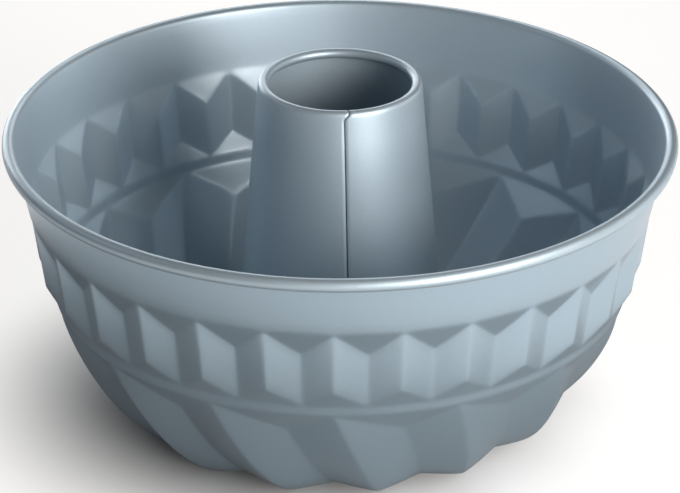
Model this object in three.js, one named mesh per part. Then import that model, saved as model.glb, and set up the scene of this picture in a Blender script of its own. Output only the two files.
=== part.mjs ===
// Fluted ring-cake pan: a deep-drawn steel bowl with a rolled tube locked into its floor.
// Millimetres, +Z up. The origin is on the axis, at the plane that the lobes stand on, and the
// middle of one lobe faces -Y.

import * as THREE from 'three';

const DEG = Math.PI / 180;

// Sheet stock, and the clearance wherever the two pieces meet
const BOWL_SHEET = 0.6;
const TUBE_SHEET = 0.6;
const FIT_GAP = 0.3;

// Rim bead, a hollow curl of the bowl's own sheet, and the plain collar under it
const RIM_RADIUS = 115;
const BEAD_RADIUS = 2.25;
const BEAD_OPENING = 75 * DEG;
const COLLAR_HEIGHT = 20.5;
const COLLAR_LEAN = 10.43 * DEG;

// Upper tier: V-shaped flutes with a roof facet over each valley and a sill under each crest
const FLUTE_TIER_HEIGHT = 29.9;
const FLUTE_LEAN = 7.2 * DEG;
const FLUTE_DEPTH = 3.4;
const FLUTE_ROOF = 9.3;
const FLUTE_SILL = 6.9;
const FLUTE_FLAT = 1.6;

// Plain ring between the tiers
const RING_HEIGHT = 3.9;

// Lower tier: lobes that swirl as they curve under to the feet. Each spans a pair of flutes.
const LOBE_COUNT = 15;
const LOBE_TIER_HEIGHT = 47.2;
const LOBE_LEAN = 10.7 * DEG;
const LOBE_TOP_HANDLE = 17.5;
const LOBE_FOOT_HANDLE = 14.4;
const LOBE_ROOF = 11.9;
const LOBE_DEPTH = 4.7;
const LOBE_FLAT = 1.8;
const SWIRL_ANGLE = 18 * DEG;

// Feet, floor and the turned-down lip of the centre hole
const FOOT_RADIUS = 63.5;
const FOOT_LENGTH = 5;
const FOOT_DEPTH = 4;
const FLOOR_RISE = 9;
const LAND_WIDTH = 5;
const LIP_BEND = 1.2;
const LIP_LENGTH = 4.5;

// Centre tube
const NECK_RADIUS = 36.6;
const SHOULDER_WIDTH = 1.2;
const TUBE_TOP_RADIUS = 27.9;
const TUBE_ABOVE_RIM = 17.6;
const TUBE_CURL_RADIUS = 1.8;
const TUBE_CURL_OPENING = 120 * DEG;
const HEM_LENGTH = 2.6;
const SEAM_FOOT_AZIMUTH = 5.2 * DEG;
const SEAM_TOP_AZIMUTH = 2.9 * DEG;
const SEAM_GAP = 0.4;
const SEAM_JOG = 2;

// Facets: steps along the lobes and floor, round the curls, and round the tube
const SWIRL_SLICES = 24;
const LOBE_STEPS = 6;
const FLOOR_STEPS = 3;
const BEAD_STEPS = 8;
const BEND_STEPS = 2;
const HEM_STEPS = 4;
const TUBE_CURL_STEPS = 6;
const TUBE_SIDES = 42;
const JOG_SIDES = 3;
const EDGE_STEP = 0.5;

// Levels above the feet, and the bowl's straight lines
const ringFoot = LOBE_TIER_HEIGHT;
const ringTop = ringFoot + RING_HEIGHT;
const collarFoot = ringTop + FLUTE_TIER_HEIGHT;
const beadLevel = collarFoot + COLLAR_HEIGHT;
const rimTop = beadLevel + BEAD_RADIUS;
const beadCentre = new THREE.Vector2(RIM_RADIUS - BEAD_RADIUS, beadLevel);
const beadInside = BEAD_RADIUS - BOWL_SHEET;
const collarTopRadius = beadCentre.x - beadInside * Math.cos(COLLAR_LEAN);
const collarTop = beadCentre.y + beadInside * Math.sin(COLLAR_LEAN);
const collarFootRadius = collarTopRadius - (collarTop - collarFoot) * Math.tan(COLLAR_LEAN);
const crestRadiusAt = (z) => collarFootRadius - (collarFoot - z) * Math.tan(FLUTE_LEAN);
const ringRadiusAt = (z) => crestRadiusAt(z) - FLUTE_DEPTH;
const lipRadius = NECK_RADIUS + FIT_GAP + BOWL_SHEET;
const landRadius = lipRadius + LIP_BEND + LAND_WIDTH;

const point = (r, z) => new THREE.Vector2(r, z);

// Points on a round bend in the section, both ends included
function bend(centre, radius, from, to, steps) {
  return Array.from({ length: steps + 1 }, (_, i) => {
    const angle = from + ((to - from) * i) / steps;
    return point(centre.x + radius * Math.cos(angle), centre.y + radius * Math.sin(angle));
  });
}

// A sheet solid. The rows run along the sheet and hold the face that lies to the right of their
// course; the other face is set off from it by the sheet's thickness.
function sheetSolid(rows, thickness, closedRound) {
  const columns = rows[0].length;
  const spans = closedRound ? columns : columns - 1;
  const last = rows.length - 1;
  const at = (row, column) => row * columns + (column % columns);
  const faces = [];
  const quad = (a, b, c, d) => faces.push(a, b, c, a, c, d);
  for (let row = 0; row < last; row += 1) {
    for (let column = 0; column < spans; column += 1) {
      quad(at(row, column), at(row, column + 1), at(row + 1, column + 1), at(row + 1, column));
    }
  }
  const face = new THREE.BufferGeometry().setFromPoints(rows.flat());
  face.setIndex([...faces]);
  face.computeVertexNormals();
  const outward = face.getAttribute('normal');
  const back = rows.flat().map((corner, i) => {
    const normal = new THREE.Vector3().fromBufferAttribute(outward, i);
    return corner.clone().addScaledVector(normal, -thickness);
  });
  const offset = back.length;
  const skin = faces.length;
  for (let i = 0; i < skin; i += 3) {
    faces.push(faces[i] + offset, faces[i + 2] + offset, faces[i + 1] + offset);
  }
  for (let column = 0; column < spans; column += 1) {
    const [first, second] = [at(0, column), at(0, column + 1)];
    quad(second, first, first + offset, second + offset);
    const [left, right] = [at(last, column), at(last, column + 1)];
    quad(left, right, right + offset, left + offset);
  }
  if (!closedRound) {
    for (let row = 0; row < last; row += 1) {
      const [low, high] = [at(row, 0), at(row + 1, 0)];
      quad(low, high, high + offset, low + offset);
      const [lower, upper] = [at(row, columns - 1), at(row + 1, columns - 1)];
      quad(upper, lower, lower + offset, upper + offset);
    }
  }
  const solid = new THREE.BufferGeometry().setFromPoints([...rows.flat(), ...back]);
  solid.setIndex(faces);
  solid.computeVertexNormals();
  return solid;
}

// Six columns to a lobe: the two edges of a crest's flat, a flank, the two edges of the next flat
// and a flank. On the flutes both flats are crests, and on the lobes the second one is a valley.
const LOBE_PITCH = (2 * Math.PI) / LOBE_COUNT;
const FLUTE_SHARES = [1, 1, 0, 1, 1, 0];
const LOBE_SHARES = [1, 1, 0.5, 0, 0, 0.5];

function columnAngles(flat, radius) {
  const half = flat / 2 / radius;
  const middle = LOBE_PITCH / 2;
  return [-half, half, middle / 2, middle - half, middle + half, middle * 1.5];
}

// One row round the bowl, shared out between a crest and a valley of the section
function bowlRow(crest, valley, shares, flat) {
  const angles = columnAngles(flat, crest.r);
  const row = [];
  for (let lobe = 0; lobe < LOBE_COUNT; lobe += 1) {
    shares.forEach((share, column) => {
      const mix = (key) => THREE.MathUtils.lerp(valley[key], crest[key], share);
      const angle = lobe * LOBE_PITCH + angles[column] + mix('turn') - Math.PI / 2;
      const radius = mix('r');
      row.push(new THREE.Vector3(radius * Math.cos(angle), radius * Math.sin(angle), mix('z')));
    });
  }
  return row;
}

function plainRow(section, turn) {
  const place = { r: section.x, z: section.y, turn };
  return bowlRow(place, place, FLUTE_SHARES, FLUTE_FLAT);
}

// The line that the lobes' crests follow, from the ring down to the feet and in to the land
function lobeCrest() {
  const top = point(ringRadiusAt(ringFoot), ringFoot);
  const lean = point(-Math.sin(LOBE_LEAN), -Math.cos(LOBE_LEAN));
  const heel = point(FOOT_RADIUS + FOOT_LENGTH / 2, 0);
  const toe = point(FOOT_RADIUS - FOOT_LENGTH / 2, 0);
  const land = point(landRadius, FLOOR_RISE);
  const halfway = (toe.x + land.x) / 2;
  const wall = new THREE.CubicBezierCurve(
    top,
    top.clone().addScaledVector(lean, LOBE_TOP_HANDLE),
    point(heel.x + LOBE_FOOT_HANDLE, 0),
    heel,
  );
  const floor = new THREE.CubicBezierCurve(
    toe,
    point(halfway, 0),
    point(halfway, FLOOR_RISE),
    land,
  );
  const line = new THREE.CurvePath();
  line.add(wall);
  line.add(new THREE.LineCurve(heel, toe));
  line.add(floor);
  return { line, wallLength: wall.getLength(), length: line.getLength() };
}

// Rows of the lobes from the ring in to the land
function lobeRows() {
  const { line, wallLength, length } = lobeCrest();
  const turnAt = (distance) => {
    const slice = distance / SWIRL_SLICES;
    let turn = 0;
    for (let i = 0; i < SWIRL_SLICES; i += 1) {
      turn += (Math.tan(SWIRL_ANGLE) * slice) / line.getPoint(((i + 0.5) * slice) / length).x;
    }
    return turn;
  };
  const depthAt = (distance) => {
    if (distance < wallLength) {
      const share = (distance - LOBE_ROOF) / (wallLength - LOBE_ROOF);
      return THREE.MathUtils.lerp(LOBE_DEPTH, FOOT_DEPTH, share);
    }
    return FOOT_DEPTH * (1 - (distance - wallLength) / (length - wallLength));
  };
  const crestAt = (distance) => {
    const { x, y } = line.getPoint(distance / length);
    return { r: x, z: y, turn: turnAt(distance) };
  };
  const valleyAt = (distance) => {
    const { x, y } = line.getPoint(distance / length);
    const along = line.getTangent(distance / length);
    const depth = depthAt(distance);
    return { r: x + along.y * depth, z: y - along.x * depth, turn: turnAt(distance) };
  };
  const rows = [];
  const add = (crest, valley) => {
    rows.push(bowlRow(crestAt(crest), valleyAt(valley), LOBE_SHARES, LOBE_FLAT));
  };
  for (let i = 0; i <= LOBE_STEPS; i += 1) {
    const share = i / LOBE_STEPS;
    const crest = THREE.MathUtils.lerp(EDGE_STEP, wallLength, share);
    const valley = THREE.MathUtils.lerp(LOBE_ROOF, wallLength, share);
    add(crest, valley);
  }
  const toe = wallLength + FOOT_LENGTH;
  for (let i = 0; i < FLOOR_STEPS; i += 1) {
    const distance = THREE.MathUtils.lerp(toe, length, i / FLOOR_STEPS);
    add(distance, distance);
  }
  return { rows, landTurn: turnAt(length) };
}

// Rows of the flutes from the ring up to the collar
function fluteRows() {
  const fluteRow = (crestZ, valleyZ) => {
    const crest = { r: crestRadiusAt(crestZ), z: crestZ, turn: 0 };
    const valley = { r: ringRadiusAt(valleyZ), z: valleyZ, turn: 0 };
    return bowlRow(crest, valley, FLUTE_SHARES, FLUTE_FLAT);
  };
  const ring = [ringFoot, ringTop].map((z) => plainRow(point(ringRadiusAt(z), z), 0));
  const sill = fluteRow(ringTop + FLUTE_SILL, ringTop + EDGE_STEP);
  const roof = fluteRow(collarFoot - EDGE_STEP, collarFoot - FLUTE_ROOF);
  return [...ring, sill, roof];
}

// The collar and the bead: a straight wall that runs tangent into the curl
function rimRows() {
  const foot = point(collarFootRadius, collarFoot);
  const start = Math.PI - COLLAR_LEAN;
  const sweep = 2 * Math.PI - BEAD_OPENING;
  const bead = bend(beadCentre, beadInside, start, start - sweep, BEAD_STEPS);
  return [foot, ...bead].map((section) => plainRow(section, 0));
}

// The lip: up from its end and round into the land
function lipRows(turn) {
  const corner = point(lipRadius + LIP_BEND, FLOOR_RISE - LIP_BEND);
  const top = bend(corner, LIP_BEND, Math.PI, Math.PI / 2, BEND_STEPS);
  const end = point(lipRadius, corner.y - LIP_LENGTH);
  const land = point(landRadius, FLOOR_RISE);
  return [end, ...top, land].map((section) => plainRow(section, turn));
}

function flutedBowl() {
  const { rows, landTurn } = lobeRows();
  const section = [...lipRows(landTurn), ...rows.reverse(), ...fluteRows(), ...rimRows()];
  return sheetSolid(section, BOWL_SHEET, true);
}

// The tube's section from the free edge of its hem, under the lip, up the cone and round the curl
function tubeSection() {
  const lipEnd = FLOOR_RISE - LIP_BEND - LIP_LENGTH;
  const hemRadius = (BOWL_SHEET + 2 * FIT_GAP) / 2;
  const hemCentre = point(NECK_RADIUS + hemRadius, lipEnd);
  const hem = bend(hemCentre, hemRadius, 0, -Math.PI, HEM_STEPS);
  const seat = FLOOR_RISE + BOWL_SHEET + FIT_GAP;
  const top = rimTop + TUBE_ABOVE_RIM;
  const curlCentre = point(TUBE_TOP_RADIUS - TUBE_CURL_RADIUS, top - TUBE_CURL_RADIUS);
  const shoulder = point(NECK_RADIUS + SHOULDER_WIDTH, seat);
  const cone = point(TUBE_TOP_RADIUS, curlCentre.y).sub(shoulder);
  const lean = Math.atan2(-cone.x, cone.y);
  const sweep = 2 * Math.PI - TUBE_CURL_OPENING;
  const curl = bend(curlCentre, TUBE_CURL_RADIUS, lean, lean + sweep, TUBE_CURL_STEPS);
  const hemEdge = point(hemCentre.x + hemRadius, hemCentre.y + HEM_LENGTH);
  const foot = [hemEdge, ...hem, point(NECK_RADIUS, seat), shoulder];
  return { foot, curl };
}

// The tube is rolled from a blank, so its rows stop at both edges of the open seam. The seam leans
// a little on its way up, and steps sideways where the sheet turns into the curl.
function tubeRow({ x: r, y: z }, seam, jog) {
  const start = seam - Math.PI / 2 + SEAM_GAP / 2 / r;
  const sweep = 2 * Math.PI - SEAM_GAP / r;
  return Array.from({ length: TUBE_SIDES + 1 }, (_, side) => {
    const nearSeam = Math.max(0, 1 - Math.min(side, TUBE_SIDES - side) / JOG_SIDES);
    const angle = start + (sweep * side) / TUBE_SIDES + (jog / r) * nearSeam;
    return new THREE.Vector3(r * Math.cos(angle), r * Math.sin(angle), z);
  });
}

function centreTube() {
  const { foot, curl } = tubeSection();
  const [coneTop, ...turned] = curl;
  const rows = [
    ...foot.map((section) => tubeRow(section, SEAM_FOOT_AZIMUTH, 0)),
    tubeRow(coneTop, SEAM_TOP_AZIMUTH, 0),
    ...turned.map((section) => tubeRow(section, SEAM_TOP_AZIMUTH, SEAM_JOG)),
  ];
  return sheetSolid(rows, TUBE_SHEET, false);
}

function coatedSteel() {
  return new THREE.MeshStandardMaterial({ color: 0x8c9ba5, roughness: 0.38, metalness: 0.85 });
}

function piece(name, geometry) {
  const mesh = new THREE.Mesh(geometry, coatedSteel());
  mesh.name = name;
  return mesh;
}

const pan = new THREE.Group();
pan.name = 'fluted_tube_pan';
pan.add(piece('fluted_bowl', flutedBowl()));
pan.add(piece('centre_tube', centreTube()));

export default pan;
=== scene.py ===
"""Looks of a fluted ring-cake pan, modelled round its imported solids.

The pan is two pieces of coated sheet steel: a deep-drawn bowl with an upper tier of V flutes and a
lower tier of swirled lobes, and a rolled centre tube whose foot is hemmed round the lip of the bowl's
floor. Everything is in metres, +Z up, in the frame of the solids: the origin is on the axis of the
pan, at the plane that the lobes stand on, and the middle of one lobe faces -Y.
"""

import logging
import math
from collections.abc import Callable, Sequence
from dataclasses import dataclass
from enum import Enum
from typing import ClassVar, NamedTuple

import bmesh
import bpy
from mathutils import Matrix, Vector
from mathutils.geometry import interpolate_bezier


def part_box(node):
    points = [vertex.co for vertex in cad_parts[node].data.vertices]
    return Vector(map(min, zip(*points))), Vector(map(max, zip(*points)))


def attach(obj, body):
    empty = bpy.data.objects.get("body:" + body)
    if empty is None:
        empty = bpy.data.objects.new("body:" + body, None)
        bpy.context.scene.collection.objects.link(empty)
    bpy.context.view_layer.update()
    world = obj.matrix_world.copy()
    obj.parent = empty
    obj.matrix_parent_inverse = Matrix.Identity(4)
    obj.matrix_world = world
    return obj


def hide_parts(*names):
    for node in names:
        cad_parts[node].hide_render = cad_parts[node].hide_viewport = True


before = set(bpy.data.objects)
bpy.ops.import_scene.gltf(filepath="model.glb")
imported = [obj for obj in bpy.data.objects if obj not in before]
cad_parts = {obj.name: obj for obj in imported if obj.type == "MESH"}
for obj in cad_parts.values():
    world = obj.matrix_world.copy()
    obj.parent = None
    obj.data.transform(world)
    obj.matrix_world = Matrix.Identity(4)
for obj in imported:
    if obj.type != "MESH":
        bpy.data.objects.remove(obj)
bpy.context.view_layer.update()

log = logging.getLogger("fluted_tube_pan")

MM = 0.001
FULL_TURN = 2 * math.pi
AXIS_FOOT = (0.0, 0.0, 0.0)
BODY = "root"
SAME_PLACE = 0.01 * MM
SAME_LEVEL = 0.1 * MM
SMOOTH_ANGLE = math.radians(50)

Colour = tuple[float, float, float, float]


class Face(Enum):
    """The two faces of a sheet, by their material slot."""

    DRAWN = 0
    BEHIND = 1


class Tint(Enum):
    """Colours of the studio's light."""

    NEUTRAL = (1.0, 1.0, 1.0)
    WARM = (1.0, 0.955, 0.91)
    COOL = (0.82, 0.92, 1.0)


class Place(NamedTuple):
    """A point of a ring: its distance from the axis, its level, and its turn about the axis."""

    radius: float
    level: float
    turn: float = 0.0


def lerp(low: float, high: float, share: float) -> float:
    """Return the value at a share of the way from low to high."""
    return low + (high - low) * share


def between(low: Place, high: Place, share: float) -> Place:
    """Return the place at a share of the way from low to high."""
    return Place(*(lerp(a, b, share) for a, b in zip(low, high)))


def arc(centre: Place, radius: float, start: float, end: float, steps: int) -> list[Place]:
    """Return the places along a round bend in the section, both ends included.

    Args:
        centre: Middle of the bend.
        radius: Radius of the bend.
        start: Angle of the first place, from the outward direction, towards +Z.
        end: Angle of the last place.
        steps: Steps from the first place to the last.

    Returns:
        The places in order.
    """
    angles = [lerp(start, end, step / steps) for step in range(steps + 1)]
    return [
        Place(centre.radius + radius * math.cos(a), centre.level + radius * math.sin(a))
        for a in angles
    ]


def select_only(piece: bpy.types.Object) -> None:
    """Make a piece the only selected object, and the active one.

    Args:
        piece: Object to select.
    """
    bpy.ops.object.select_all(action="DESELECT")
    piece.select_set(True)
    bpy.context.view_layer.objects.active = piece


def select_where(piece: bpy.types.Object, chosen: Callable[[bmesh.types.BMVert], bool]) -> None:
    """Select, in edit mode, just the vertices that a test picks out.

    Args:
        piece: Object in edit mode.
        chosen: Test of a vertex.
    """
    mesh = bmesh.from_edit_mesh(piece.data)
    bpy.ops.mesh.select_all(action="DESELECT")
    for vertex in mesh.verts:
        vertex.select_set(chosen(vertex))
    mesh.select_flush_mode()
    bmesh.update_edit_mesh(piece.data)


def apply_modifier(piece: bpy.types.Object, kind: str, **settings: float | int | str | bool) -> None:
    """Add a modifier to a piece and apply it.

    Args:
        piece: Object in object mode.
        kind: Blender's name of the modifier type.
        settings: Values of the modifier's properties.
    """
    select_only(piece)
    modifier = piece.modifiers.new(kind.lower(), kind)
    for name, value in settings.items():
        setattr(modifier, name, value)
    bpy.ops.object.modifier_apply(modifier=modifier.name)


def smooth(piece: bpy.types.Object, levels: int) -> None:
    """Round a piece's facets with applied subdivision."""
    apply_modifier(piece, "SUBSURF", levels=levels, render_levels=levels)


def thicken(piece: bpy.types.Object, sheet: float) -> None:
    """Give a piece its sheet thickness, behind the face that was drawn, and a slot for each face.

    Args:
        piece: Object in object mode.
        sheet: Thickness of the sheet.
    """
    select_only(piece)
    for _ in Face:
        bpy.ops.object.material_slot_add()
    apply_modifier(
        piece,
        "SOLIDIFY",
        thickness=sheet,
        offset=-1.0,
        use_even_offset=True,
        material_offset=Face.BEHIND.value,
    )


def face_outward(piece: bpy.types.Object, level: float, reach: float) -> None:
    """Turn a piece's faces so that its wall at a level faces away from the axis.

    Args:
        piece: Object in edit mode.
        level: Level at which the wall is looked at.
        reach: Distance from the level within which a face counts.
    """
    bpy.ops.mesh.select_all(action="SELECT")
    bpy.ops.mesh.normals_make_consistent(inside=False)
    mesh = bmesh.from_edit_mesh(piece.data)
    facing = 0.0
    for face in mesh.faces:
        middle = face.calc_center_median()
        if abs(middle.z - level) < reach:
            facing += face.normal.x * middle.x + face.normal.y * middle.y
    if facing < 0:
        bpy.ops.mesh.flip_normals()


@dataclass(frozen=True)
class CoatedSteel:
    """Satin metallic coat, sprayed on sheet steel: fine flake, faint orange peel, soft smudges.

    Attributes:
        name: Name of the material.
        sleek: Roughness of the sleekest patches.
        dull: Roughness of the dullest patches.
        deep: Colour of the darkest flakes.
        bright: Colour of the brightest flakes.
    """

    name: str
    sleek: float
    dull: float
    deep: Colour = (0.46, 0.565, 0.645, 1.0)
    bright: Colour = (0.51, 0.615, 0.695, 1.0)
    metallic: float = 1.0
    coat: float = 0.0
    coat_roughness: float = 0.12
    flake_scale: float = 1500.0
    flake_detail: float = 1.0
    peel_scale: float = 420.0
    peel_detail: float = 2.0
    peel_height: float = 0.006 * MM
    smudge_scale: float = 38.0
    smudge_detail: float = 4.0
    smudge_low: float = 0.3
    smudge_high: float = 0.7

    def material(self) -> bpy.types.Material:
        """Mix the finish.

        Returns:
            A node material on Object coordinates.
        """
        made = bpy.data.materials.new(self.name)
        made.use_nodes = True
        nodes = made.node_tree.nodes
        links = made.node_tree.links
        shader = nodes["Principled BSDF"]
        shader.inputs["Metallic"].default_value = self.metallic
        shader.inputs["Coat Weight"].default_value = self.coat
        shader.inputs["Coat Roughness"].default_value = self.coat_roughness
        where = nodes.new("ShaderNodeTexCoord").outputs["Object"]
        flake = self._noise(made.node_tree, where, self.flake_scale, self.flake_detail)
        peel = self._noise(made.node_tree, where, self.peel_scale, self.peel_detail)
        smudge = self._noise(made.node_tree, where, self.smudge_scale, self.smudge_detail)

        tint = nodes.new("ShaderNodeMix")
        tint.data_type = "RGBA"
        tint.inputs["A"].default_value = self.deep
        tint.inputs["B"].default_value = self.bright
        links.new(flake, tint.inputs["Factor"])
        links.new(tint.outputs["Result"], shader.inputs["Base Color"])

        gloss = nodes.new("ShaderNodeMapRange")
        gloss.inputs["From Min"].default_value = self.smudge_low
        gloss.inputs["From Max"].default_value = self.smudge_high
        gloss.inputs["To Min"].default_value = self.sleek
        gloss.inputs["To Max"].default_value = self.dull
        links.new(smudge, gloss.inputs["Value"])
        links.new(gloss.outputs["Result"], shader.inputs["Roughness"])

        skin = nodes.new("ShaderNodeBump")
        skin.inputs["Distance"].default_value = self.peel_height
        links.new(peel, skin.inputs["Height"])
        links.new(skin.outputs["Normal"], shader.inputs["Normal"])
        return made

    @staticmethod
    def _noise(
        tree: bpy.types.NodeTree, where: bpy.types.NodeSocket, scale: float, detail: float
    ) -> bpy.types.NodeSocket:
        """Add a noise pattern to a material.

        Args:
            tree: Nodes of the material.
            where: Coordinates that the pattern lies on.
            scale: Grains to a metre.
            detail: Finer octaves on top of the grain.

        Returns:
            The strength of the pattern.
        """
        node = tree.nodes.new("ShaderNodeTexNoise")
        node.inputs["Scale"].default_value = scale
        node.inputs["Detail"].default_value = detail
        tree.links.new(where, node.inputs["Vector"])
        return node.outputs["Fac"]


OUTSIDE_COAT = CoatedSteel(
    "outside_coat",
    sleek=0.28,
    dull=0.32,
    deep=(0.43, 0.56, 0.66, 1.0),
    bright=(0.48, 0.61, 0.71, 1.0),
    metallic=0.75,
    coat=0.4,
    coat_roughness=0.08,
)
FOOD_COAT = CoatedSteel("food_coat", sleek=0.46, dull=0.53, metallic=0.6, coat=0.3)
BORE_COAT = CoatedSteel("bore_coat", sleek=0.5, dull=0.58, metallic=0.5)


def coat_faces(piece: bpy.types.Object, finishes: dict[Face, CoatedSteel]) -> None:
    """Give each face of a sheet its finish.

    Args:
        piece: Finished sheet.
        finishes: Finish of each face.
    """
    for face, finish in finishes.items():
        piece.data.materials[face.value] = finish.material()


class RingSheet:
    """A sheet drawn ring by ring in edit mode, from a circle down to its last edge.

    Attributes:
        piece: The object, which stays in edit mode.
        columns: Vertices in each ring.
        repeat: Columns after which a ring's shape repeats.
        phase: Column of the first repeat, so that it faces -Y.
        rings: Rings drawn so far.
        places: Where each column of one repeat lies in the last ring.
    """

    def __init__(self, name: str, columns: int, repeat: int, start: Place) -> None:
        """Add the circle that the sheet starts from.

        Args:
            name: Name of the object.
            columns: Vertices in each ring.
            repeat: Columns after which a ring's shape repeats.
            start: Place of the circle.
        """
        bpy.ops.object.select_all(action="DESELECT")
        bpy.ops.mesh.primitive_circle_add(
            vertices=columns, radius=start.radius, location=(0.0, 0.0, start.level)
        )
        self.piece = bpy.context.object
        self.piece.name = name
        bpy.ops.object.transform_apply(location=True, rotation=True, scale=True)
        self.columns = columns
        self.repeat = repeat
        self.phase = columns // 2 % repeat
        self.rings = 1
        self.places = [start] * repeat
        bpy.ops.object.mode_set(mode="EDIT")
        bpy.ops.mesh.select_mode(type="VERT")
        bpy.ops.mesh.select_all(action="SELECT")

    def add_ring(self, places: Sequence[Place]) -> None:
        """Extrude the last ring and move each column to its new place.

        Args:
            places: New place of each column of one repeat.
        """
        first = self.rings * self.columns
        select_where(self.piece, lambda v: v.index >= first - self.columns)
        bpy.ops.mesh.extrude_edges_move()
        self.rings += 1
        for move in sorted(set(zip(self.places, places))):
            roles = {r for r in range(self.repeat) if (self.places[r], places[r]) == move}
            select_where(self.piece, lambda v: v.index >= first and self._role(v) in roles)
            self._move_selected(*move)
        self.places = list(places)

    def add_plain_ring(self, place: Place) -> None:
        """Extrude the last ring to a plain round one."""
        self.add_ring([place] * self.repeat)

    def _role(self, vertex: bmesh.types.BMVert) -> int:
        """Return the column of one repeat that a vertex stands in."""
        return (vertex.index % self.columns - self.phase) % self.repeat

    @staticmethod
    def _move_selected(old: Place, new: Place) -> None:
        """Scale, lift and turn the selected vertices from one place to another.

        Args:
            old: Place where they are.
            new: Place where they go.
        """
        share = new.radius / old.radius
        bpy.ops.transform.resize(value=(share, share, 1.0), center_override=AXIS_FOOT)
        bpy.ops.transform.translate(value=(0.0, 0.0, new.level - old.level))
        if new.turn != old.turn:
            # With no window the operator turns clockwise seen from above.
            bpy.ops.transform.rotate(
                value=old.turn - new.turn, orient_axis="Z", center_override=AXIS_FOOT
            )


class LobeLine:
    """The line that the lobes' crests follow in the section, measured along its length."""

    SAMPLES: ClassVar[int] = 80

    def __init__(self, stretches: Sequence[Sequence[Vector]], swirl: float) -> None:
        """Join the stretches and measure them.

        Args:
            stretches: Points (radius, level) of each stretch, end to end.
            swirl: Angle between the lobes and the meridian.
        """
        self.points = [stretches[0][0]]
        self.marks: list[float] = []
        self.lengths = [0.0]
        self.turns = [0.0]
        for stretch in stretches:
            for point in stretch[1:]:
                step = (point - self.points[-1]).length
                middle = (point.x + self.points[-1].x) / 2
                self.points.append(point)
                self.lengths.append(self.lengths[-1] + step)
                self.turns.append(self.turns[-1] + math.tan(swirl) * step / middle)
            self.marks.append(self.lengths[-1])

    def _step(self, distance: float) -> tuple[int, float]:
        """Find a distance along the line among its samples.

        Args:
            distance: Distance from the start of the line.

        Returns:
            The sample before it, and the share of the way to the next sample.
        """
        index = 0
        while index < len(self.lengths) - 2 and self.lengths[index + 1] < distance:
            index += 1
        reach = self.lengths[index + 1] - self.lengths[index]
        return index, (distance - self.lengths[index]) / reach

    def crest(self, distance: float) -> Place:
        """Find a point of the line.

        Args:
            distance: Distance from the start of the line.

        Returns:
            The place of a crest there, with its swirl.
        """
        index, share = self._step(distance)
        point = self.points[index].lerp(self.points[index + 1], share)
        return Place(point.x, point.y, lerp(self.turns[index], self.turns[index + 1], share))

    def valley(self, distance: float, depth: float) -> Place:
        """Find a point behind the line.

        Args:
            distance: Distance from the start of the line.
            depth: Distance behind the line.

        Returns:
            The place of a valley there, with its swirl.
        """
        index, _ = self._step(distance)
        along = (self.points[index + 1] - self.points[index]).normalized()
        crest = self.crest(distance)
        return Place(
            crest.radius + along.y * depth, crest.level - along.x * depth, crest.turn
        )


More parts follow.
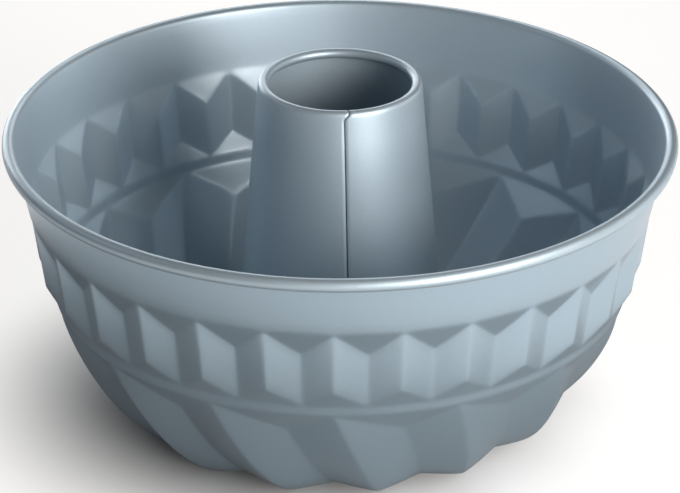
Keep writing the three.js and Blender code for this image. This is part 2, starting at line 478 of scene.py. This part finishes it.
@dataclass
class FlutedBowl:
    """The drawn bowl: bead, collar, flutes, ring, lobes, floor and lip. All of it is one sheet.

    Attributes:
        rim_radius: Radius over the bead.
        bead_opening: Part of a full turn that the bead's curl leaves open.
        lobe_top_handle: Reach of the straight start of the lobes' curve, under the ring.
        lobe_foot_handle: Reach of the flat end of the lobes' curve, before the foot.
        crease_share: Rounding of the creases, as a share of the fillet under the collar.
        crease_angle: Angle from which an edge counts as a crease.
    """

    rim_radius: float
    sheet: float = 0.6 * MM
    bead_radius: float = 2.25 * MM
    bead_opening: float = math.radians(75)
    collar_height: float = 20.5 * MM
    collar_lean: float = math.radians(10.43)
    flute_tier_height: float = 29.9 * MM
    flute_lean: float = math.radians(7.2)
    flute_depth: float = 3.4 * MM
    flute_roof: float = 9.3 * MM
    flute_sill: float = 6.9 * MM
    ring_height: float = 3.9 * MM
    lobe_count: int = 15
    lobe_tier_height: float = 47.2 * MM
    lobe_lean: float = math.radians(10.7)
    lobe_top_handle: float = 17.5 * MM
    lobe_foot_handle: float = 14.4 * MM
    lobe_roof: float = 11.9 * MM
    lobe_depth: float = 4.7 * MM
    swirl: float = math.radians(18)
    foot_radius: float = 63.5 * MM
    foot_length: float = 5.0 * MM
    foot_depth: float = 4.0 * MM
    floor_rise: float = 9.0 * MM
    land_width: float = 5.0 * MM
    lip_radius: float = 37.5 * MM
    lip_bend: float = 1.2 * MM
    lip_length: float = 4.5 * MM
    collar_fillet: float = 1.5 * MM
    crease_share: float = 0.6
    crease_angle: float = math.radians(9)
    crease_segments: int = 2
    bead_steps: int = 14
    wall_steps: int = 14
    floor_steps: int = 4
    bend_steps: int = 3
    smooth_levels: int = 1
    outside: CoatedSteel = OUTSIDE_COAT
    food_side: CoatedSteel = FOOD_COAT

    COLUMNS_TO_A_LOBE: ClassVar[int] = 8
    # Shares of the way from a valley to a crest, for each column of one lobe.
    FLUTE_SHARES: ClassVar[tuple[float, ...]] = (1.0, 0.5, 0.0, 0.5, 1.0, 0.5, 0.0, 0.5)
    LOBE_SHARES: ClassVar[tuple[float, ...]] = (1.0, 0.75, 0.5, 0.25, 0.0, 0.25, 0.5, 0.75)

    def __post_init__(self) -> None:
        """Work out the levels and radii that follow from the sizes."""
        self.ring_foot = self.lobe_tier_height
        self.ring_top = self.ring_foot + self.ring_height
        self.collar_foot = self.ring_top + self.flute_tier_height
        self.bead_level = self.collar_foot + self.collar_height
        self.bead_inside = self.bead_radius - self.sheet
        self.bead_centre = Place(self.rim_radius - self.bead_radius, self.bead_level)
        top_radius = self.bead_centre.radius - self.bead_inside * math.cos(self.collar_lean)
        top_level = self.bead_level + self.bead_inside * math.sin(self.collar_lean)
        drop = (top_level - self.collar_foot) * math.tan(self.collar_lean)
        self.collar_foot_radius = top_radius - drop
        self.land_radius = self.lip_radius + self.lip_bend + self.land_width

    def crest_radius(self, level: float) -> float:
        """Return the radius of the flutes' crests at a level."""
        return self.collar_foot_radius - (self.collar_foot - level) * math.tan(self.flute_lean)

    def ring_radius(self, level: float) -> float:
        """Return the radius of the flutes' valleys, and of the ring below them, at a level."""
        return self.crest_radius(level) - self.flute_depth

    def lobe_line(self) -> LobeLine:
        """Draw the line of the lobes' crests.

        Returns:
            The line from the ring, by the foot, to the land.
        """
        top = Vector((self.ring_radius(self.ring_foot), self.ring_foot))
        lean = Vector((-math.sin(self.lobe_lean), -math.cos(self.lobe_lean)))
        heel = Vector((self.foot_radius + self.foot_length / 2, 0.0))
        toe = Vector((self.foot_radius - self.foot_length / 2, 0.0))
        land = Vector((self.land_radius, self.floor_rise))
        halfway = (toe.x + land.x) / 2
        wall = interpolate_bezier(
            top,
            top + lean * self.lobe_top_handle,
            heel + Vector((self.lobe_foot_handle, 0.0)),
            heel,
            LobeLine.SAMPLES,
        )
        floor = interpolate_bezier(
            toe,
            Vector((halfway, 0.0)),
            Vector((halfway, self.floor_rise)),
            land,
            LobeLine.SAMPLES,
        )
        return LobeLine([wall, [heel, toe], floor], self.swirl)

    def build(self) -> bpy.types.Object:
        """Model the bowl.

        Returns:
            The finished piece.
        """
        start = math.pi - self.collar_lean
        sweep = FULL_TURN - self.bead_opening
        bead = arc(self.bead_centre, self.bead_inside, start - sweep, start, self.bead_steps)
        columns = self.lobe_count * self.COLUMNS_TO_A_LOBE
        cage = RingSheet("fluted_bowl_sheet", columns, self.COLUMNS_TO_A_LOBE, bead[0])
        for place in bead[1:]:
            cage.add_plain_ring(place)
        self._add_flutes(cage)
        self._add_lobes(cage)
        self._soften(cage.piece)
        return cage.piece

    def dress(self, piece: bpy.types.Object) -> None:
        """Give the bowl its finish outside and on the food side."""
        coat_faces(piece, {Face.DRAWN: self.outside, Face.BEHIND: self.food_side})

    @staticmethod
    def _shared(crest: Place, valley: Place, shares: Sequence[float]) -> list[Place]:
        """Return one ring's places, shared out between a crest and a valley."""
        return [between(valley, crest, share) for share in shares]

    def _add_flutes(self, cage: RingSheet) -> None:
        """Draw the collar, the flutes with their roofs and sills, and the ring.

        Args:
            cage: Sheet drawn down to the bead's inner edge.
        """
        cage.add_plain_ring(Place(self.collar_foot_radius, self.collar_foot))
        self._add_flute_ring(cage, self.collar_foot, self.collar_foot - self.flute_roof)
        self._add_flute_ring(cage, self.ring_top + self.flute_sill, self.ring_top)
        for level in (self.ring_top, self.ring_foot):
            cage.add_plain_ring(Place(self.ring_radius(level), level))

    def _add_flute_ring(self, cage: RingSheet, crest_level: float, valley_level: float) -> None:
        """Draw one zigzag ring of the flutes.

        Args:
            cage: Sheet drawn so far.
            crest_level: Level of the ring at the crests.
            valley_level: Level of the ring at the valleys.
        """
        crest = Place(self.crest_radius(crest_level), crest_level)
        valley = Place(self.ring_radius(valley_level), valley_level)
        cage.add_ring(self._shared(crest, valley, self.FLUTE_SHARES))

    def _add_lobes(self, cage: RingSheet) -> None:
        """Draw the lobes, the floor and the lip.

        Args:
            cage: Sheet drawn down to the ring's foot.
        """
        line = self.lobe_line()
        wall, toe, length = line.marks
        for step in range(self.wall_steps + 1):
            share = step / self.wall_steps
            depth = lerp(self.lobe_depth, self.foot_depth, share)
            valley = line.valley(lerp(self.lobe_roof, wall, share), depth)
            crest = line.crest(lerp(0.0, wall, share))
            cage.add_ring(self._shared(crest, valley, self.LOBE_SHARES))
        for step in range(self.floor_steps + 1):
            distance = lerp(toe, length, step / self.floor_steps)
            depth = self.foot_depth * (length - distance) / (length - wall)
            crest = line.crest(distance)
            valley = line.valley(distance, depth)
            cage.add_ring(self._shared(crest, valley, self.LOBE_SHARES))
        turn = line.turns[-1]
        corner = Place(self.lip_radius + self.lip_bend, self.floor_rise - self.lip_bend)
        for place in arc(corner, self.lip_bend, math.pi / 2, math.pi, self.bend_steps):
            cage.add_plain_ring(Place(place.radius, place.level, turn))
        cage.add_plain_ring(Place(self.lip_radius, corner.level - self.lip_length, turn))

    def _soften(self, piece: bpy.types.Object) -> None:
        """Weld the facets' tips, round the creases and give the sheet its thickness.

        Args:
            piece: Bowl in edit mode, drawn to its last edge.
        """
        bpy.ops.mesh.select_all(action="SELECT")
        bpy.ops.mesh.remove_doubles(threshold=SAME_PLACE)
        face_outward(piece, (self.ring_top + self.collar_foot) / 2, self.flute_tier_height / 4)
        self._weigh_creases(piece)
        bpy.ops.object.mode_set(mode="OBJECT")
        apply_modifier(
            piece,
            "BEVEL",
            limit_method="WEIGHT",
            width=self.collar_fillet,
            segments=self.crease_segments,
            use_clamp_overlap=False,
        )
        smooth(piece, self.smooth_levels)
        thicken(piece, self.sheet)
        select_only(piece)
        bpy.ops.object.shade_smooth_by_angle(angle=SMOOTH_ANGLE)

    def _weigh_creases(self, piece: bpy.types.Object) -> None:
        """Mark the creases of the two tiers, and the wider one under the collar, to be rounded.

        Args:
            piece: Bowl in edit mode.
        """
        bpy.ops.mesh.select_mode(type="EDGE")
        bpy.ops.mesh.select_all(action="DESELECT")
        bpy.ops.mesh.edges_select_sharp(sharpness=self.crease_angle)
        mesh = bmesh.from_edit_mesh(piece.data)
        top = self.collar_foot + SAME_LEVEL
        land = self.land_radius + SAME_LEVEL
        for edge in mesh.edges:
            radius = min(v.co.xy.length for v in edge.verts)
            level = max(v.co.z for v in edge.verts)
            if level > top or radius < land:
                edge.select_set(False)
        bmesh.update_edit_mesh(piece.data)
        bpy.ops.transform.edge_bevelweight(value=self.crease_share)
        for edge in mesh.edges:
            edge.select_set(all(abs(v.co.z - self.collar_foot) < SAME_LEVEL for v in edge.verts))
        bmesh.update_edit_mesh(piece.data)
        bpy.ops.transform.edge_bevelweight(value=1.0)


@dataclass
class CentreTube:
    """The rolled tube: hem, neck, shoulder, cone and curl, with an open seam down its front.

    Attributes:
        top: Level of the curl's top.
        curl_opening: Part of a full turn that the curl leaves open.
        seam_foot: Angle of the seam's foot, to the right of the front.
        seam_top: Angle of the seam's straight top, to the right of the front.
        seam_kick: Turn back to the left just under the jog.
        jog_turn: Turn to the right where the seam jogs into the curl.
        jog_height: Height over which the seam jogs.
        jog_drop: Distance from the curl down to the start of the jog.
    """

    top: float
    sheet: float = 0.6 * MM
    hem_radius: float = 0.6 * MM
    hem_level: float = 3.3 * MM
    hem_length: float = 2.6 * MM
    neck_radius: float = 36.6 * MM
    seat: float = 9.9 * MM
    shoulder_width: float = 1.2 * MM
    top_radius: float = 27.9 * MM
    curl_radius: float = 1.8 * MM
    curl_opening: float = math.radians(120)
    seam_gap: float = 0.4 * MM
    seam_foot: float = math.radians(6.1)
    seam_top: float = math.radians(3.6)
    seam_kick: float = math.radians(0.7)
    jog_turn: float = math.radians(3.85)
    jog_height: float = 1.6 * MM
    jog_drop: float = 1.05 * MM
    edge_round: float = 0.12 * MM
    edge_angle: float = math.radians(60)
    sides: int = 72
    hem_steps: int = 6
    cone_steps: int = 6
    curl_steps: int = 10
    smooth_levels: int = 1
    outside: CoatedSteel = FOOD_COAT
    bore: CoatedSteel = BORE_COAT

    def section(self) -> list[Place]:
        """Return the outer face from the hem's free edge up to the end of the curl.

        Returns:
            Places whose turn is the seam's angle to the right of the front.
        """
        hem_centre = Place(self.neck_radius + self.hem_radius, self.hem_level)
        hem_edge = Place(hem_centre.radius + self.hem_radius, self.hem_level + self.hem_length)
        hem = arc(hem_centre, self.hem_radius, 0.0, -math.pi, self.hem_steps)
        neck = Place(self.neck_radius, self.seat)
        shoulder = Place(self.neck_radius + self.shoulder_width, self.seat)
        curl_centre = Place(self.top_radius - self.curl_radius, self.top - self.curl_radius)
        rise = curl_centre.level - self.seat
        lean = math.atan2(shoulder.radius - self.top_radius, rise)
        sweep = FULL_TURN - self.curl_opening
        curl = arc(curl_centre, self.curl_radius, lean, lean + sweep, self.curl_steps)
        shares = [step / self.cone_steps for step in range(self.cone_steps)]
        ends = [1 - reach / rise for reach in (2 * self.jog_drop, self.jog_drop)]
        cone = [between(shoulder, curl[0], share) for share in (*shares, *ends)]
        return [
            *(Place(p.radius, p.level, self.seam_foot) for p in (hem_edge, *hem, neck)),
            *(Place(p.radius, p.level, self._seam_turn(p.level)) for p in (*cone, *curl[:2])),
            *(Place(p.radius, p.level, self._seam_turn(self.top)) for p in curl[2:]),
        ]

    def _seam_turn(self, level: float) -> float:
        """Follow the seam up the outer face.

        Args:
            level: Level on the outer face.

        Returns:
            The seam's angle to the right of the front.
        """
        jog_foot = self.top - self.curl_radius - self.jog_drop
        rise = (level - self.seat) / (jog_foot - self.seat)
        straight = lerp(self.seam_foot, self.seam_top, min(1.0, rise))
        kick = min(1.0, max(0.0, 1 + (level - jog_foot) / self.jog_drop))
        jog = min(1.0, max(0.0, (level - jog_foot) / self.jog_height))
        return straight - self.seam_kick * kick + self.jog_turn * jog

    def build(self) -> bpy.types.Object:
        """Model the tube.

        Returns:
            The finished piece.
        """
        section = self.section()
        bpy.ops.object.select_all(action="DESELECT")
        bpy.ops.mesh.primitive_circle_add(vertices=3, radius=section[0].radius)
        piece = bpy.context.object
        piece.name = "centre_tube_sheet"
        bpy.ops.object.mode_set(mode="EDIT")
        bpy.ops.mesh.select_mode(type="VERT")
        self._draw_section(piece, section)
        gap = self.seam_gap / self.neck_radius
        bpy.ops.mesh.select_all(action="SELECT")
        bpy.ops.mesh.spin(
            steps=self.sides, angle=FULL_TURN - gap, center=AXIS_FOOT, axis=(0.0, 0.0, 1.0)
        )
        self._lean_seam(piece, section, gap)
        face_outward(piece, (self.seat + self.top) / 2, (self.top - self.seat) / 4)
        bpy.ops.object.mode_set(mode="OBJECT")
        smooth(piece, self.smooth_levels)
        thicken(piece, self.sheet)
        apply_modifier(
            piece, "BEVEL", limit_method="ANGLE", angle_limit=self.edge_angle, width=self.edge_round
        )
        select_only(piece)
        bpy.ops.object.shade_smooth_by_angle(angle=SMOOTH_ANGLE)
        return piece

    def dress(self, piece: bpy.types.Object) -> None:
        """Give the tube its finish outside and in its bore."""
        coat_faces(piece, {Face.DRAWN: self.outside, Face.BEHIND: self.bore})

    @staticmethod
    def _draw_section(piece: bpy.types.Object, section: Sequence[Place]) -> None:
        """Keep one corner of the start shape, and extrude it along the section at the front.

        Args:
            piece: Start shape in edit mode.
            section: Places of the section, from the hem up.
        """
        select_where(piece, lambda v: v.index > 0)
        bpy.ops.mesh.delete(type="VERT")
        bpy.ops.mesh.select_all(action="SELECT")
        mesh = bmesh.from_edit_mesh(piece.data)
        mesh.verts.ensure_lookup_table()
        first = Vector((0.0, -section[0].radius, section[0].level))
        bpy.ops.transform.translate(value=first - mesh.verts[0].co)
        for old, new in zip(section, section[1:]):
            step = (0.0, old.radius - new.radius, new.level - old.level)
            bpy.ops.mesh.extrude_vertices_move(TRANSFORM_OT_translate={"value": step})

    @staticmethod
    def _lean_seam(piece: bpy.types.Object, section: Sequence[Place], gap: float) -> None:
        """Turn each row of the spun tube so that the seam runs as the section says.

        Args:
            piece: Spun tube in edit mode.
            section: Places of the section, from the hem up.
            gap: Angle that the seam leaves open.
        """
        for place in section:
            select_where(
                piece,
                lambda v: abs(v.co.z - place.level) < SAME_PLACE
                and abs(v.co.xy.length - place.radius) < SAME_PLACE,
            )
            bpy.ops.transform.rotate(
                value=-(place.turn + gap / 2), orient_axis="Z", center_override=AXIS_FOOT
            )


@dataclass(frozen=True)
class PaleFloor:
    """A plain pale floor. Its glow, which only eyes and mirrors see, fades out under the pan as a
    painted shadow.

    Attributes:
        painted_shadow_centre: Middle of the painted shadow that the glow leaves, to the left of the
            axis.
        seen_glow: Strength of the glow that the camera sees, where 1 is white.
        seen_start: Distance from the middle where that glow starts.
        seen_end: Distance from the middle where it is full. Nearer in, the camera sees a painted
            shadow on top of the lamps' real one.
        mirrored_glow: Strength of the glow that the coat mirrors.
        mirrored_start: Distance from the middle where that glow starts.
        mirrored_end: Distance from the middle where it is full. Nearer in, the coat mirrors painted
            shade on the floor, on top of the lamps' real shadow.
    """

    half_width: float = 4.0
    colour: Colour = (0.35, 0.35, 0.35, 1.0)
    roughness: float = 0.9
    glow_colour: Colour = (1.0, 0.985, 0.965, 1.0)
    painted_shadow_centre: tuple[float, float, float] = (-21 * MM, 0.0, 0.0)
    seen_glow: float = 0.78
    seen_start: float = 50 * MM
    seen_end: float = 125 * MM
    mirrored_glow: float = 0.62
    mirrored_start: float = 155 * MM
    mirrored_end: float = 195 * MM

    def build(self) -> bpy.types.Object:
        """Model the floor and give it its paint.

        Returns:
            The floor.
        """
        bpy.ops.object.select_all(action="DESELECT")
        bpy.ops.mesh.primitive_plane_add(size=2 * self.half_width, location=AXIS_FOOT)
        floor = bpy.context.object
        floor.name = "floor"
        floor.data.materials.append(self.material())
        return floor

    def material(self) -> bpy.types.Material:
        """Mix the floor's paint.

        Returns:
            A node material that glows for camera and glossy rays.
        """
        paint = bpy.data.materials.new("pale_floor")
        paint.use_nodes = True
        nodes = paint.node_tree.nodes
        links = paint.node_tree.links
        shader = nodes["Principled BSDF"]
        shader.inputs["Base Color"].default_value = self.colour
        shader.inputs["Roughness"].default_value = self.roughness
        shader.inputs["Specular IOR Level"].default_value = 0.0
        shader.inputs["Emission Color"].default_value = self.glow_colour

        where = nodes.new("ShaderNodeTexCoord")
        away = nodes.new("ShaderNodeVectorMath")
        away.operation = "DISTANCE"
        away.inputs[1].default_value = self.painted_shadow_centre
        links.new(where.outputs["Object"], away.inputs[0])
        ray = nodes.new("ShaderNodeLightPath")
        glow = nodes.new("ShaderNodeMath")
        glow.operation = "MAXIMUM"
        reaches = (
            ("Is Camera Ray", self.seen_glow, self.seen_start, self.seen_end),
            ("Is Glossy Ray", self.mirrored_glow, self.mirrored_start, self.mirrored_end),
        )
        # Each fade leaves a painted shadow round the pan in the glow. The mirrored one reaches
        # further out, so the coat's lower facets mirror painted shade.
        for (kind, strength, start, end), share in zip(reaches, glow.inputs):
            fade = nodes.new("ShaderNodeMapRange")
            fade.interpolation_type = "SMOOTHSTEP"
            fade.inputs["From Min"].default_value = start
            fade.inputs["From Max"].default_value = end
            fade.inputs["To Max"].default_value = strength
            links.new(away.outputs["Value"], fade.inputs["Value"])
            shown = nodes.new("ShaderNodeMath")
            shown.operation = "MULTIPLY"
            links.new(ray.outputs[kind], shown.inputs[0])
            links.new(fade.outputs["Result"], shown.inputs[1])
            links.new(shown.outputs["Value"], share)
        links.new(glow.outputs["Value"], shader.inputs["Emission Strength"])
        return paint


@dataclass(frozen=True)
class Softbox:
    """A square studio light that faces the pan.

    Attributes:
        name: Name of the lamp.
        azimuth: Direction from the pan, in degrees to the right of the front.
        elevation: Direction from the pan, in degrees above the floor.
        distance: Distance from the middle of the pan.
        width: Width of its face.
        height: Height of its face.
        radiance: Brightness of its face, where 1 is white.
        tint: Colour of its light.
    """

    name: str
    azimuth: float
    elevation: float
    distance: float
    width: float
    height: float
    radiance: float
    tint: Tint = Tint.NEUTRAL

    def build(self, target: Vector) -> None:
        """Hang the lamp and aim it.

        Args:
            target: Point that its face looks at.
        """
        turn = math.radians(self.azimuth)
        tilt = math.radians(self.elevation)
        away = Vector(
            (math.sin(turn) * math.cos(tilt), -math.cos(turn) * math.cos(tilt), math.sin(tilt))
        )
        bpy.ops.object.light_add(type="AREA", location=target + away * self.distance)
        lamp = bpy.context.object
        lamp.name = self.name
        lamp.rotation_euler = away.to_track_quat("Z", "Y").to_euler()
        lamp.data.shape = "RECTANGLE"
        lamp.data.size = self.width
        lamp.data.size_y = self.height
        lamp.data.energy = self.radiance * math.pi * self.width * self.height
        lamp.data.color = self.tint.value
        lamp.visible_camera = False


@dataclass(frozen=True)
class Studio:
    """Lamps, ambient light and camera."""

    aim: tuple[float, float, float] = (0.0, 0.0, 0.06)
    softboxes: tuple[Softbox, ...] = (
        Softbox("key", 35.0, 12.0, 1.5, 0.8, 0.8, 9.5, Tint.WARM),
        Softbox("high_key", 45.0, 30.0, 0.5, 0.25, 0.25, 4.8, Tint.WARM),
        Softbox("right", 110.0, 12.0, 1.5, 0.8, 0.8, 1.0),
        Softbox("back", 180.0, 30.0, 0.5, 0.25, 0.25, 2.3),
        Softbox("back_left", -150.0, 12.0, 1.5, 0.8, 0.8, 3.8),
        Softbox("left", -95.0, 35.0, 1.5, 0.8, 0.8, 0.8, Tint.COOL),
    )
    ambient: Colour = (0.75, 0.9, 1.0, 1.0)
    ambient_strength: float = 0.03
    camera_place: tuple[float, float, float] = (17.06 * MM, -946.83 * MM, 539.79 * MM)
    camera_tilt: float = math.radians(63.019)
    camera_turn: float = math.radians(1.0325)
    focal_length: float = 161.84
    sensor_width: float = 36.0

    def light(self) -> None:
        """Hang the lamps and set the ambient light."""
        for softbox in self.softboxes:
            softbox.build(Vector(self.aim))
        world = bpy.data.worlds.new("studio")
        world.use_nodes = True
        sky = world.node_tree.nodes["Background"]
        sky.inputs["Color"].default_value = self.ambient
        sky.inputs["Strength"].default_value = self.ambient_strength
        bpy.context.scene.world = world
        bpy.context.scene.view_settings.view_transform = "Standard"

    def aim_camera(self) -> None:
        """Set up the camera that took the picture."""
        turn = (self.camera_tilt, 0.0, self.camera_turn)
        bpy.ops.object.camera_add(location=self.camera_place, rotation=turn)
        camera = bpy.context.object
        camera.data.lens = self.focal_length
        camera.data.sensor_width = self.sensor_width
        bpy.context.scene.camera = camera


def show(piece: bpy.types.Object, node: str) -> None:
    """Put a finished piece in a node's place on the pan, and report it.

    Args:
        piece: Finished piece.
        node: Name of the solid that it stands for.
    """
    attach(piece, BODY)
    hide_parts(node)
    log.info("%s: %d faces", piece.name, len(piece.data.polygons))


def main() -> None:
    """Build the pan, its finish and its stage in order."""
    logging.basicConfig(level=logging.INFO, format="%(message)s")
    studio = Studio()
    studio.aim_camera()
    studio.light()
    PaleFloor().build()
    bowl = FlutedBowl(rim_radius=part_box("fluted_bowl")[1].x)
    bowl_sheet = bowl.build()
    bowl.dress(bowl_sheet)
    show(bowl_sheet, "fluted_bowl")
    tube = CentreTube(top=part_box("centre_tube")[1].z)
    tube_sheet = tube.build()
    tube.dress(tube_sheet)
    show(tube_sheet, "centre_tube")


if __name__ == "__main__":
    main()
